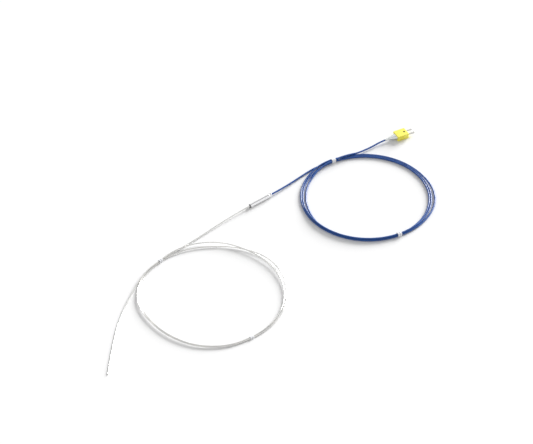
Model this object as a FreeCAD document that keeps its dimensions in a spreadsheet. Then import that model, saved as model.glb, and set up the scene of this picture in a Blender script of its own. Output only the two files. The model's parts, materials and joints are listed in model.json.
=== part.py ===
import FreeCAD, Part
import math
import os
import Sketcher

# Mineral-insulated thermocouple with a coiled sheath, a transition sleeve, a coiled
# extension lead and a miniature flat-pin plug. Millimetres, +Z up. The origin is under
# the middle of the transition sleeve, which lies along X with the lead at its +X end.

V = FreeCAD.Vector
doc = FreeCAD.newDocument("Thermocouple")

# Driving dimensions. Each alias is a cell of the sheet.
SIZES = {
    "sleeveLength": (39.0, "transition sleeve, overall length"),
    "sleeveDia": (6.0, "transition sleeve, outside diameter"),
    "sleeveWall": (0.7, "transition sleeve, wall of the pot"),
    "sleeveEndWall": (3.0, "transition sleeve, thickness of the closed end"),
    "sleeveEdge": (0.5, "rounding of the sleeve's outer edges"),
    "crimpSetBack": (3.6, "roll crimp, distance of its middle from the open end"),
    "crimpWidth": (1.4, "roll crimp, width of the groove"),
    "crimpDepth": (0.25, "roll crimp, depth of the groove"),
    "bushLength": (4.0, "sealing bush in the sleeve's open end"),
    "bushSetIn": (0.4, "sealing bush, how far it sits behind the sleeve's edge"),
    "fitGap": (0.03, "radial clearance of a piece in its seat"),
    "sheathDia": (1.6, "metal sheath, outside diameter"),
    "sheathWall": (0.2, "metal sheath, wall"),
    "sheathInside": (4.5, "sheath, length standing inside the pot past the end wall"),
    "elementDia": (0.3, "thermoelement wire"),
    "elementPitch": (0.6, "distance between the two thermoelements in the sheath"),
    "elementEnd": (2.5, "length of thermoelement held in its splice"),
    "elementBend": (2.6, "room for a thermoelement's bend before its sleeving"),
    "sleevingDia": (0.9, "insulating sleeving on a thermoelement"),
    "sleevingLength": (2.2, "insulating sleeving, length"),
    "splicePitch": (2.8, "distance between the two splices"),
    "spliceStart": (-3.0, "splices, where they begin along X"),
    "spliceLength": (5.0, "crimped splice, length"),
    "spliceDia": (1.3, "crimped splice, outside diameter"),
    "spliceWeb": (0.4, "solid web between a splice's two bores"),
    "leadDia": (2.5, "extension lead, outside diameter of the jacket"),
    "jacketInside": (7.5, "length of jacket inside the sleeve"),
    "jacketWall": (0.2, "extension lead, least wall of the jacket beside a core"),
    "coreGap": (0.1, "least gap between the two cores in the jacket"),
    "wireDia": (0.5, "conductor of a core"),
    "coreBare": (1.0, "length of bare conductor between a splice and its insulation"),
    "coreBend": (2.4, "where a core turns towards the jacket, past its splice"),
    "coreJoin": (1.7, "where a core turns straight again, before the jacket"),
    "tieThickness": (0.5, "thickness of a tie"),
    "tieWidth": (4.0, "width of a tie along the bundle"),
    "tieGap": (0.3, "clearance beside a tie"),
    "sheathCoilX": (-174.1, "sheath coil, centre"),
    "sheathCoilY": (-109.0, "sheath coil, centre"),
    "sheathCoilInner": (95.5, "sheath coil, inner radius of the turns"),
    "sheathCoilOuter": (107.5, "sheath coil, outer radius of the turns"),
    "sheathCoilRise": (3.2, "sheath coil, height of the turns"),
    "sheathBundle": (3.4, "sheath coil, width of the turns inside a tie"),
    "sheathBundleRadius": (100.0, "sheath coil, radius of the turns at the ties"),
    "sheathTieAngleA": (98.0, "angle of the sheath's first tie about its coil"),
    "sheathTieAngleB": (-97.0, "angle of the sheath's second tie about its coil"),
    "leadCoilX": (122.9, "lead coil, centre"),
    "leadCoilY": (-90.1, "lead coil, centre"),
    "leadCoilInner": (85.8, "lead coil, inner radius of the turns"),
    "leadCoilOuter": (99.4, "lead coil, outer radius of the turns"),
    "leadCoilRise": (5.0, "lead coil, height of the turns"),
    "leadBundle": (5.4, "lead coil, width of the turns inside a tie"),
    "leadBundleRadius": (92.5, "lead coil, radius of the turns at the ties"),
    "leadTieAngleA": (80.0, "angle of the lead's first tie about its coil"),
    "leadTieAngleB": (-101.5, "angle of the lead's second tie about its coil"),
    "tipLength": (30.0, "straight measuring end of the sheath, before its cap"),
    "tipCapLength": (1.0, "welded cap on the tip, length of its dome"),
    "beadDia": (0.8, "measuring junction bead"),
    "beadSetBack": (1.6, "measuring junction, distance of its middle from the cap"),
    "plugX": (245.3, "plug, middle of its rear face"),
    "plugY": (-16.5, "plug, middle of its rear face"),
    "plugAngle": (-12.0, "plug, direction of its pins about Z"),
    "plugLength": (19.0, "plug body, length"),
    "plugWidth": (16.0, "plug body, width"),
    "plugBaseHeight": (4.2, "plug base, height up to the joint between the shells"),
    "plugCoverHeight": (3.8, "plug cover, height above the joint"),
    "plugCorner": (1.6, "plug body, radius of its upright corners"),
    "plugEdge": (0.6, "plug body, rounding of its outer edges"),
    "plugWall": (1.4, "plug body, side and rear wall"),
    "plugFloor": (1.2, "plug body, thickness of floor and roof"),
    "plugRib": (1.2, "rib between the two terminals"),
    "gripDepth": (0.45, "grip groove, depth"),
    "gripWidth": (0.9, "grip groove, width"),
    "gripPitch": (1.9, "grip grooves, distance from one to the next"),
    "gripStart": (4.4, "grip grooves, middle of the first from the rear face"),
    "bladePitch": (7.9, "distance between the two blades"),
    "bladeThickness": (0.8, "blade, thickness"),
    "bladeOut": (11.0, "blade, length that stands out of the plug"),
    "positiveWidth": (2.4, "positive blade, width"),
    "negativeWidth": (3.2, "negative blade, width"),
    "bladeTail": (5.2, "blade, where its inner end lies from the rear face"),
    "bladeTip": (0.6, "blade, bevel at its free end"),
    "terminalX": (8.6, "terminal screw, distance from the rear face"),
    "terminalDia": (1.6, "terminal screw, shank diameter"),
    "terminalHeadDia": (3.0, "terminal screw, head diameter"),
    "terminalHeadHeight": (0.9, "terminal screw, head height"),
    "terminalDepth": (1.6, "terminal screw, how far it passes below the blade"),
    "washerSide": (3.4, "terminal washer, side of the square plate"),
    "washerThickness": (0.5, "terminal washer, thickness"),
    "slotWidth": (0.5, "screwdriver slot, width"),
    "slotDepth": (0.4, "screwdriver slot, depth"),
    "coverScrewX": (14.6, "cover screw, distance from the rear face"),
    "coverScrewDia": (1.8, "cover screw, shank diameter"),
    "coverScrewHead": (3.0, "cover screw, head diameter"),
    "coverScrewHeadHeight": (1.0, "cover screw, head height"),
    "coverScrewSink": (0.5, "cover screw, how far its head lies below the top"),
    "bossDia": (4.2, "boss around the cover screw"),
    "insertLength": (2.6, "threaded insert in the base"),
    "insertWall": (0.5, "threaded insert, wall"),
    "clampLength": (12.5, "cable clamp, tapered hood"),
    "barrelLength": (5.5, "cable clamp, crimp barrel on the jacket"),
    "clampSheet": (0.4, "cable clamp, thickness of its metal"),
    "hoodWidth": (11.6, "cable clamp, width of the hood at the plug"),
    "hoodHeight": (5.6, "cable clamp, height of the hood at the plug"),
    "tongueWidth": (2.6, "cable clamp, height of a tongue held in the plug"),
    "tongueLength": (0.9, "cable clamp, length of a tongue"),
    "grommetDia": (4.4, "entry grommet, outside diameter"),
    "jacketInPlug": (1.6, "length of jacket inside the plug's rear wall"),
    "corePartX": (3.4, "where the cores part, from the plug's rear face"),
    "coreLayX": (6.4, "where the cores run straight again, from the rear face"),
}
sheet = doc.addObject("Spreadsheet::Sheet", "Sizes")
for row, (alias, (value, note)) in enumerate(SIZES.items(), start=1):
    sheet.set(f"A{row}", note)
    sheet.set(f"B{row}", str(value))
    sheet.setAlias(f"B{row}", alias)
doc.recompute()


def size(alias):
    """One driving dimension, read back from the sheet."""
    return float(sheet.get(alias))


def bind(obj, **expressions):
    """Binds properties to expressions. A double underscore stands for a dot, and a word
    that is a sheet alias gets the sheet's name in front."""
    for prop, text in expressions.items():
        obj.setExpression(prop.replace("__", "."), onSheet(text))


def onSheet(text):
    """The same expression with each alias written as Sizes.alias."""
    words, word = [], ""
    for letter in str(text) + " ":
        if letter.isalnum():
            word += letter
            continue
        words.append("Sizes." + word if word in SIZES else word)
        words.append(letter)
        word = ""
    return "".join(words).strip()


coreDia = "(leadDia / 2 - jacketWall - coreGap / 2)"
corePitch = f"({coreDia} + coreGap)"

nodes = []


def node(obj, label):
    """Names a finished sub-part, so that it is checked and written to its own file."""
    obj.Label = label
    nodes.append(obj)
    return obj


# Sketches and bodies, from outlines whose corners are expressions.
def newBody(label, **place):
    """A body, with its Placement bound to the sheet."""
    body = node(doc.addObject("PartDesign::Body", label), label)
    bind(body, **{"Placement__" + key: text for key, text in place.items()})
    return body


def newSketch(body, plane, offset=None):
    """A sketch on one of the body's own origin planes, moved along its normal."""
    sketch = body.newObject("Sketcher::SketchObject", "Profile")
    face = [item for item in body.Origin.OriginFeatures if item.Role == plane + "_Plane"][0]
    sketch.AttachmentSupport = [(face, "")]
    sketch.MapMode = "FlatFace"
    if offset is not None:
        bind(sketch, AttachmentOffset__Base__z=offset)
    return sketch


def hold(sketch, geometry, point, along, text):
    """Holds one coordinate of a sketch point at an expression, measured from the origin."""
    if text == "0":
        axis = -2 if along == "X" else -1
        sketch.addConstraint(Sketcher.Constraint("PointOnObject", geometry, point, axis))
        return
    vertex = sketch.getPoint(geometry, point)
    now = vertex.x if along == "X" else vertex.y
    index = sketch.addConstraint(
        Sketcher.Constraint("Distance" + along, -1, 1, geometry, point, now))
    name = f"at{index}"
    sketch.renameConstraint(index, name)
    sketch.setExpression("Constraints." + name, onSheet(text))


def value(text):
    """The number that an expression on the sheet's aliases stands for."""
    holder = doc.addObject("App::FeaturePython", "Scratch")
    holder.addProperty("App::PropertyFloat", "Number")
    holder.setExpression("Number", onSheet(text))
    holder.recompute()
    number = holder.Number
    doc.removeObject(holder.Name)
    return number


def drawPolygon(sketch, corners):
    """A closed outline through corners, each given as two expressions."""
    points = [V(value(x), value(y), 0) for x, y in corners]
    first = sketch.GeometryCount
    count = len(points)
    for i, point in enumerate(points):
        sketch.addGeometry(Part.LineSegment(point, points[(i + 1) % count]), False)
    for i, (x, y) in enumerate(corners):
        after = first + (i - 1) % count
        sketch.addConstraint(Sketcher.Constraint("Coincident", after, 2, first + i, 1))
        hold(sketch, first + i, 1, "X", x)
        hold(sketch, first + i, 1, "Y", y)


def drawCircle(sketch, x, y, diameter):
    """A circle whose middle and diameter are expressions."""
    centre = V(value(x), value(y), 0)
    circle = Part.Circle(centre, V(0, 0, 1), value(diameter) / 2)
    index = sketch.addGeometry(circle, False)
    hold(sketch, index, 3, "X", x)
    hold(sketch, index, 3, "Y", y)
    number = sketch.addConstraint(Sketcher.Constraint("Diameter", index, circle.Radius * 2))
    sketch.renameConstraint(number, f"across{number}")
    sketch.setExpression(f"Constraints.across{number}", onSheet(diameter))


def box4(x0, x1, y0, y1):
    """The four corners of an upright rectangle."""
    return [(x0, y0), (x1, y0), (x1, y1), (x0, y1)]


def turned(body, profile, axis="H_Axis"):
    """Adds a solid turned about the body's X axis from (x, radius) corners, or about its
    Z axis, V_Axis, from (radius, z) corners."""
    sketch = newSketch(body, "XZ")
    drawPolygon(sketch, profile)
    solid = body.newObject("PartDesign::Revolution", "Turned")
    solid.Profile = sketch
    solid.ReferenceAxis = (sketch, [axis])
    solid.Angle = 360
    return solid


def raised(body, kind, draw, height, start="0", plane="XY"):
    """A Pad or Pocket of what draw puts in its sketch. Both run up from start."""
    sketch = newSketch(body, plane, start)
    draw(sketch)
    feature = body.newObject("PartDesign::" + kind, kind)
    feature.Profile = sketch
    feature.Reversed = kind == "Pocket"
    bind(feature, Length=height)
    return feature


def edgesWhere(feature, test):
    """Names of the feature's edges whose two ends and middle all pass the test."""
    names = []
    for i, edge in enumerate(feature.Shape.Edges, start=1):
        middle = edge.valueAt((edge.FirstParameter + edge.LastParameter) / 2)
        points = [vertex.Point for vertex in edge.Vertexes] + [middle]
        if all(test(point) for point in points):
            names.append(f"Edge{i}")
    return names


def rounded(body, feature, radius, test):
    """A fillet on the edges that pass the test."""
    doc.recompute()
    fillet = body.newObject("PartDesign::Fillet", "Rounded")
    fillet.Base = (feature, edgesWhere(feature, test))
    bind(fillet, Radius=radius)
    return fillet


def near(a, b):
    return abs(a - b) < 1e-4


# Cords: routes of straight runs joined by tangent arcs.
def cordPath(points, name):
    """Straight runs joined by tangent arcs. Each arc starts 0.45 of the shorter run away
    from its point, so its radius is that length over the tangent of half the turn."""
    edges, start, radii = [], points[0], []
    for before, point, after in zip(points, points[1:], points[2:]):
        into, out = (point - before), (after - point)
        reach = 0.45 * min(into.Length, out.Length)
        half = into.getAngle(out) / 2
        radius = reach / math.tan(half)
        radii.append(round(radius))
        first = point - V(into).normalize() * reach
        last = point + V(out).normalize() * reach
        inward = (V(out).normalize() - V(into).normalize()).normalize()
        middle = point + inward * (radius / math.cos(half) - radius)
        edges.append(Part.LineSegment(start, first).toShape())
        edges.append(Part.Arc(first, middle, last).toShape())
        start = last
    edges.append(Part.LineSegment(start, points[-1]).toShape())
    wire = Part.Wire(edges)
    if name:
        print(f"{name}: length {wire.Length:.1f}, arc radii {radii}")
    return wire


def sweep(points, diameter, name=""):
    """A round solid along a route."""
    wire = cordPath(points, name)
    circle = Part.Circle(points[0], points[1] - points[0], diameter / 2)
    solid = wire.makePipeShell([Part.Wire([circle.toShape()])], True, False)
    expected = math.pi * diameter ** 2 / 4 * wire.Length
    if abs(solid.Volume / expected - 1) > 0.002:
        raise ValueError(f"{name or 'wire'}: volume {solid.Volume} is not {expected}")
    return solid


def feature(label, shape, place=None):
    """A sub-part whose shape is set by this script, in its own Placement."""
    obj = node(doc.addObject("Part::Feature", label), label)
    obj.Shape = shape
    obj.Placement = place or FreeCAD.Placement()
    return obj


sleeveHalf = size("sleeveLength") / 2
axisHeight = size("sleeveDia") / 2
sheathOnTie = size("tieThickness") + size("sheathDia") / 2
leadOnTie = size("tieThickness") + size("leadDia") / 2
sheathOnFloor = size("sheathDia") / 2

plugPlace = FreeCAD.Placement(
    V(size("plugX"), size("plugY"), 0), FreeCAD.Rotation(V(0, 0, 1), size("plugAngle")))
clampEnd = -size("clampLength") - size("barrelLength")
plugAxisHeight = size("plugBaseHeight")


def onPlug(x, y, z):
    """A point of the plug's own frame, in the row frame."""
    return plugPlace.multVec(V(x, y, z))


sheathRunRoute = [
    V(-sleeveHalf, 0, axisHeight),
    V(-36, 0, axisHeight),
    V(-74.3, -1.6, 2.3),
    V(-118.3, -5.4, sheathOnTie),
    V(-146.3, -6.9, sheathOnTie),
]
sheathTailRoute = [
    V(-243.3, -28.2, sheathOnTie),
    V(-264.3, -41.0, sheathOnTie),
    V(-290.3, -58.0, sheathOnFloor),
    V(-324.3, -86.6, sheathOnFloor),
    V(-355.3, -119.0, sheathOnFloor),
]
leadInRoute = [
    V(sleeveHalf, 0, axisHeight),
    V(32, 0, axisHeight),
    V(57.7, 2.0, 2.1),
    V(85.7, 5.1, leadOnTie),
    V(102.7, 6.3, leadOnTie),
]
leadOutRoute = [
    V(175.2, -8.0, 3.3),
    V(190.7, -9.4, 3.0),
    onPlug(clampEnd - 14, 0, plugAxisHeight),
    onPlug(clampEnd, 0, plugAxisHeight),
]


def cordTube(label, route, diameter):
    return feature(label, sweep(route, size(diameter), label))


cordTube("sheath_run", sheathRunRoute, "sheathDia")
cordTube("sheath_tail", sheathTailRoute, "sheathDia")
cordTube("lead_run_in", leadInRoute, "leadDia")
cordTube("lead_run_out", leadOutRoute, "leadDia")


# The coils and their ties.
def bundleBox(coil, angle, grow, width):
    """A box whose section is the tied bundle's, grown all round, and whose length along
    the turns is width."""
    side = size(coil + "Bundle") + 2 * grow
    rise = size(coil + "CoilRise") + 2 * grow
    corner = V(size(coil + "BundleRadius") - side / 2, -width / 2,
               size("tieThickness") - grow)
    box = Part.makeBox(side, width, rise, corner)
    box.Placement = FreeCAD.Placement(
        V(size(coil + "CoilX"), size(coil + "CoilY"), 0),
        FreeCAD.Rotation(V(0, 0, 1), angle))
    return box


def slotBox(coil, route, diameter):
    """Room for a tube that ends on a flat wall inside a coil: route ends at the wall."""
    end, before = route[-1], route[-2]
    turn = FreeCAD.Rotation(V(1, 0, 0), before - end)
    width = size(diameter) + 2 * size("tieGap")
    box = Part.makeBox(60, width, 40, V(0, -width / 2, -20))
    box.Placement = FreeCAD.Placement(end, turn)
    return box


def coil(label, coilName, tieAngles, routes, diameter):
    """The outer shape of a coil's turns: a flat ring, waisted where a tie holds it and
    slotted where a straight stretch joins it."""
    inner = doc.addObject("Part::Cylinder", label + "Inner")
    outer = doc.addObject("Part::Cylinder", label + "Outer")
    for cylinder, radius in ((inner, "Inner"), (outer, "Outer")):
        bind(cylinder, Radius=coilName + "Coil" + radius, Height=coilName + "CoilRise",
             Placement__Base__x=coilName + "CoilX", Placement__Base__y=coilName + "CoilY",
             Placement__Base__z="tieThickness")
    ring = doc.addObject("Part::Cut", label + "Ring")
    ring.Base, ring.Tool = outer, inner
    room = size("tieWidth") + 2 * size("tieGap")
    away = []
    for angle in tieAngles:
        kept = bundleBox(coilName, angle, 0, room + 2)
        away.append(bundleBox(coilName, angle, 20, room).cut(kept))
    away += [slotBox(coilName, route, diameter) for route in routes]
    tool = doc.addObject("Part::Feature", label + "Cutter")
    tool.Shape = Part.makeCompound(away)
    turns = doc.addObject("Part::Cut", label)
    turns.Base, turns.Tool = ring, tool
    return node(turns, label)


def tie(label, coilName, angle):
    """A band round the bundle, with its inner faces on the turns."""
    width = size("tieWidth")
    band = bundleBox(coilName, angle, size("tieThickness"), width)
    band = band.makeFillet(size("tieThickness") * 0.8, [
        edge for edge in band.Edges if near(edge.Length, width)])
    return feature(label, band.cut(bundleBox(coilName, angle, 0, width + 2)))


sheathTies = [size("sheathTieAngleA"), size("sheathTieAngleB")]
leadTies = [size("leadTieAngleA"), size("leadTieAngleB")]
coil("sheath_coil", "sheath", sheathTies,
     [sheathRunRoute, sheathTailRoute[::-1]], "sheathDia")
coil("lead_coil", "lead", leadTies, [leadInRoute, leadOutRoute[::-1]], "leadDia")
for letter, sheathAngle, leadAngle in zip("ab", sheathTies, leadTies):
    tie("sheath_tie_" + letter, "sheath", sheathAngle)
    tie("lead_tie_" + letter, "lead", leadAngle)

# The transition sleeve, with the joint between the sheath's wires and the lead's.
onAxis = {"Base__z": "sleeveDia / 2"}
sleeve = newBody("transition_sleeve", **onAxis)
pot = turned(sleeve, [
    ("-sleeveLength / 2", "sheathDia / 2 + fitGap"),
    ("-sleeveLength / 2", "sleeveDia / 2"),
    ("sleeveLength / 2", "sleeveDia / 2"),
    ("sleeveLength / 2", "sleeveDia / 2 - sleeveWall"),
    ("-sleeveLength / 2 + sleeveEndWall", "sleeveDia / 2 - sleeveWall"),
    ("-sleeveLength / 2 + sleeveEndWall", "sheathDia / 2 + fitGap"),
])
groove = newSketch(sleeve, "XZ")
crimpMiddle = "sleeveLength / 2 - crimpSetBack"
drawPolygon(groove, [
    (crimpMiddle + " - crimpWidth / 2", "sleeveDia / 2"),
    (crimpMiddle + " - crimpWidth / 4", "sleeveDia / 2 - crimpDepth"),
    (crimpMiddle + " + crimpWidth / 4", "sleeveDia / 2 - crimpDepth"),
    (crimpMiddle + " + crimpWidth / 2", "sleeveDia / 2"),
    (crimpMiddle + " + crimpWidth / 2", "sleeveDia / 2 + crimpDepth"),
    (crimpMiddle + " - crimpWidth / 2", "sleeveDia / 2 + crimpDepth"),
])
crimp = sleeve.newObject("PartDesign::Groove", "RollCrimp")
crimp.Profile = groove
crimp.ReferenceAxis = (groove, ["H_Axis"])
crimp.Angle = 360


def outerRim(point):
    """On the outer edge of one of the sleeve's two ends, in the body's frame."""
    across = math.hypot(point.y, point.z)
    return near(abs(point.x), sleeveHalf) and near(across, size("sleeveDia") / 2)


rounded(sleeve, crimp, "min(sleeveEdge; sleeveWall * 0.7)", outerRim)

sheathRoot = newBody("sheath_root", **onAxis)
turned(sheathRoot, [
    ("-sleeveLength / 2", "sheathDia / 2 - sheathWall"),
    ("-sleeveLength / 2", "sheathDia / 2"),
    ("-sleeveLength / 2 + sleeveEndWall + sheathInside", "sheathDia / 2"),
    ("-sleeveLength / 2 + sleeveEndWall + sheathInside", "sheathDia / 2 - sheathWall"),
])

jacketRoot = newBody("lead_jacket_root", **onAxis)
raised(jacketRoot, "Pad", lambda sketch: drawCircle(sketch, "0", "0", "leadDia"),
       "jacketInside", "sleeveLength / 2 - jacketInside", "YZ")
for side in ("", "-"):
    raised(jacketRoot, "Pocket",
           lambda sketch: drawCircle(sketch, f"{side}{corePitch} / 2", "0", coreDia),
           "jacketInside", "sleeveLength / 2 - jacketInside", "YZ")

bush = newBody("sealing_bush", **onAxis)
turned(bush, [
    ("sleeveLength / 2 - bushSetIn - bushLength", "leadDia / 2 + fitGap"),
    ("sleeveLength / 2 - bushSetIn - bushLength", "sleeveDia / 2 - sleeveWall"),
    ("sleeveLength / 2 - bushSetIn", "sleeveDia / 2 - sleeveWall"),
    ("sleeveLength / 2 - bushSetIn", "leadDia / 2 + fitGap"),
])

# Thermoelements leave the sheath side by side, spread, and end in the splices.
sheathEnd = -sleeveHalf + size("sleeveEndWall") + size("sheathInside")
spliceStart, spliceHalf = size("spliceStart"), size("splicePitch") / 2
spliceEnd = spliceStart + size("spliceLength")
elementHalf = size("elementPitch") / 2
coreHalf = value(corePitch) / 2
elementStop = spliceStart + size("elementEnd") - size("spliceWeb") / 2
sleevingStart = spliceStart - size("sleevingLength")
jacketStart = sleeveHalf - size("jacketInside")
bareEnd = spliceEnd + size("coreBare")
wireStop = spliceStart + size("elementEnd") + size("spliceWeb") / 2
axisPlace = FreeCAD.Placement(V(0, 0, axisHeight), FreeCAD.Rotation())
jacketRoom = doc.addObject("Part::Cylinder", "JacketRoom")
bind(jacketRoom, Radius="leadDia / 2", Height="jacketInside + 1",
     Placement__Base__x="sleeveLength / 2 - jacketInside", Placement__Base__z="sleeveDia / 2")
jacketRoom.Placement.Rotation = FreeCAD.Rotation(V(0, 1, 0), 90)
buried = [sheathRoot, jacketRoom]
rootInserts = []
for sign, pole in ((1, "positive"), (-1, "negative")):
    element = sweep([
        V(-sleeveHalf, sign * elementHalf, 0),
        V(sheathEnd + size("sleevingDia") / 2, sign * elementHalf, 0),
        V(sleevingStart - size("elementBend"), sign * spliceHalf, 0),
        V(elementStop, sign * spliceHalf, 0),
    ], size("elementDia"))
    elementNode = feature("element_" + pole, element, axisPlace)
    rootInserts.append(elementNode)

    sleeving = newBody("element_sleeving_" + pole,
                       Base__y=("" if sign > 0 else "-") + "splicePitch / 2", **onAxis)
    turned(sleeving, [
        ("spliceStart - sleevingLength", "elementDia / 2"),
        ("spliceStart - sleevingLength", "sleevingDia / 2"),
        ("spliceStart", "sleevingDia / 2"),
        ("spliceStart", "elementDia / 2"),
    ])

    splice = newBody("splice_" + pole,
                     Base__y=("" if sign > 0 else "-") + "splicePitch / 2", **onAxis)
    turned(splice, [
        ("spliceStart", "elementDia / 2"),
        ("spliceStart", "spliceDia / 2"),
        ("spliceStart + spliceLength", "spliceDia / 2"),
        ("spliceStart + spliceLength", "wireDia / 2"),
        ("spliceStart + elementEnd + spliceWeb / 2", "wireDia / 2"),
        ("spliceStart + elementEnd + spliceWeb / 2", "0"),
        ("spliceStart + elementEnd - spliceWeb / 2", "0"),
        ("spliceStart + elementEnd - spliceWeb / 2", "elementDia / 2"),
    ])

    coreRoute = [
        V(wireStop, sign * spliceHalf, 0),
        V(spliceEnd + size("coreBend"), sign * spliceHalf, 0),
        V(jacketStart - size("coreJoin"), sign * coreHalf, 0),
        V(sleeveHalf, sign * coreHalf, 0),
    ]
    wire = sweep(coreRoute, size("wireDia"))
    core = sweep(coreRoute, value(coreDia)).cut(
        Part.makeBox(20, 20, 20, V(bareEnd - 20, -10, -10)))
    wireNode = feature("core_wire_" + pole, wire, axisPlace)
    feature("core_insulation_" + pole, core.cut(wire), axisPlace)
    coreRoom = doc.addObject("Part::Feature", "CoreRoom")
    coreRoom.Shape, coreRoom.Placement = core, axisPlace
    buried += [elementNode, sleeving, splice, wireNode, coreRoom]

# The packed powder fills the sheath's end round the two thermoelements.
powder = doc.addObject("Part::Cylinder", "RootPowder")
bind(powder, Radius="sheathDia / 2 - sheathWall",
     Height="sleeveEndWall + sheathInside", Placement__Base__x="-sleeveLength / 2",
     Placement__Base__z="sleeveDia / 2")
powder.Placement.Rotation = FreeCAD.Rotation(V(0, 1, 0), 90)
rootWires = doc.addObject("Part::MultiFuse", "RootWires")
rootWires.Shapes = rootInserts
rootPowder = doc.addObject("Part::Cut", "root_insulation")
rootPowder.Base, rootPowder.Tool = powder, rootWires
node(rootPowder, "root_insulation")

# The resin fills the pot from its end wall to the bush and holds all that is inside.
resin = doc.addObject("Part::Cylinder", "ResinFill")
bind(resin, Radius="sleeveDia / 2 - sleeveWall",
     Height="sleeveLength - sleeveEndWall - bushLength - bushSetIn",
     Placement__Base__x="-sleeveLength / 2 + sleeveEndWall",
     Placement__Base__z="sleeveDia / 2")
resin.Placement.Rotation = FreeCAD.Rotation(V(0, 1, 0), 90)
potting = resin
for piece in [rootPowder] + buried:
    cast = doc.addObject("Part::Cut", "Cast")
    cast.Base, cast.Tool = potting, piece
    potting = cast
node(potting, "potting_compound")

# The measuring tip, in a frame whose X runs out of the end of the sheath's tail.
tipStart = sheathTailRoute[-1]
tipHeading = (sheathTailRoute[-1] - sheathTailRoute[-2]).normalize()
tipPlace = FreeCAD.Placement(tipStart, FreeCAD.Rotation(V(1, 0, 0), tipHeading))


def tipBody(label, profile):
    """A turned piece of the tip. Its place follows the end of the sheath's route."""
    body = node(doc.addObject("PartDesign::Body", label), label)
    body.Placement = tipPlace
    turned(body, profile)
    return body


tipBody("sheath_tip", [
    ("0", "sheathDia / 2 - sheathWall"), ("0", "sheathDia / 2"),
    ("tipLength", "sheathDia / 2"), ("tipLength", "sheathDia / 2 - sheathWall"),
])
cap = tipBody("tip_cap", [
    ("tipLength", "0"), ("tipLength", "sheathDia / 2"),
    ("tipLength + tipCapLength", "sheathDia / 2"), ("tipLength + tipCapLength", "0"),
])
tipFar = size("tipLength") + size("tipCapLength")
rounded(cap, cap.Tip, "min(sheathDia * 0.42; tipCapLength * 0.9)",
        lambda point: near(point.x, tipFar) and math.hypot(point.y, point.z) > 0.01)

beadAt = size("tipLength") - size("beadSetBack")
bead = doc.addObject("Part::Sphere", "junction_bead")
bind(bead, Radius="beadDia / 2")
bead.Placement = tipPlace.multiply(FreeCAD.Placement(V(beadAt, 0, 0), FreeCAD.Rotation()))
node(bead, "junction_bead")
tipInserts = [bead]
for sign, pole in ((1, "positive"), (-1, "negative")):
    rod = Part.makeCylinder(size("elementDia") / 2, beadAt,
                            V(0, sign * elementHalf, 0), V(1, 0, 0))
    ball = Part.makeSphere(size("beadDia") / 2, V(beadAt, 0, 0))
    tipInserts.append(feature("tip_element_" + pole, rod.cut(ball), tipPlace))
tipFill = doc.addObject("Part::Cylinder", "TipPowder")
bind(tipFill, Radius="sheathDia / 2 - sheathWall", Height="tipLength")
tipFill.Placement = tipPlace.multiply(
    FreeCAD.Placement(V(), FreeCAD.Rotation(V(0, 1, 0), 90)))
tipWires = doc.addObject("Part::MultiFuse", "TipWires")
tipWires.Shapes = tipInserts
tipPowder = doc.addObject("Part::Cut", "tip_insulation")
tipPowder.Base, tipPowder.Tool = tipFill, tipWires
node(tipPowder, "tip_insulation")

# The plug, in its own frame: X along the pins from the rear face, Z up from its underside.
onPlugFrame = {"Base__x": "plugX", "Base__y": "plugY", "Rotation__Angle": "plugAngle"}
roomSide = "max(plugWidth / 2 - plugWall; bladePitch / 2 + washerSide / 2 + fitGap)"
roomBack = "plugWall * 2"
roomFront = "coverScrewX - bossDia / 2"
joint = "plugBaseHeight"
bladeLow = "plugBaseHeight - bladeThickness"
roof = "plugBaseHeight + plugCoverHeight"
washerLow = "plugBaseHeight + wireDia"
plugHalf = size("plugWidth") / 2
poles = ((1, "positive", "positiveWidth"), (-1, "negative", "negativeWidth"))


def signed(sign, text):
    return f"{sign} * ({text})"


def rectangle(x0, x1, y0, y1):
    return lambda sketch: drawPolygon(sketch, box4(x0, x1, y0, y1))


def circleAt(x, y, diameter):
    return lambda sketch: drawCircle(sketch, x, y, diameter)


def atCorner(point):
    """On one of the plug body's four upright corners."""
    alongside = near(point.x, 0) or near(point.x, size("plugLength"))
    return alongside and near(abs(point.y), plugHalf)


def shell(label, low, height, face):
    """One half of the plug body, rounded at its upright corners and round its outer face."""
    body = newBody(label, **onPlugFrame)
    outline = rectangle("0", "plugLength", "-plugWidth / 2", "plugWidth / 2")
    block = raised(body, "Pad", outline, height, low)
    corners = rounded(body, block, "plugCorner", atCorner)
    level = value(face)
    rounded(body, corners, "plugEdge", lambda point: near(point.z, level))
    for sign in (-1, 1):
        for k in range(4):
            middle = f"gripStart + {k} * gripPitch"
            raised(body, "Pocket", rectangle(
                middle + " - gripWidth / 2", middle + " + gripWidth / 2",
                signed(sign, "plugWidth / 2 - gripDepth"),
                signed(sign, "plugWidth / 2 + gripDepth")), height, low)
    raised(body, "Pocket", circleAt("0", joint, "grommetDia + 2 * fitGap"),
           roomBack, "0", "YZ")
    return body


def room(body, low, height):
    """The two terminal rooms of a shell, joined behind the rib where the cores part."""
    for sign in (-1, 1):
        raised(body, "Pocket", rectangle(
            roomBack, roomFront, signed(sign, "plugRib / 2"), signed(sign, roomSide)),
            height, low)
    raised(body, "Pocket", rectangle(
        roomBack, "plugWall * 4", "-plugRib", "plugRib"), height, low)


def tongueSlots(body, low, height):
    """Slots in the rear wall for the cable clamp's two tongues."""
    for sign in (-1, 1):
        raised(body, "Pocket", rectangle(
            "0", "tongueLength + fitGap",
            signed(sign, "hoodWidth / 2 - clampSheet - fitGap"),
            signed(sign, "hoodWidth / 2 + fitGap")), height, low)


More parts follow.
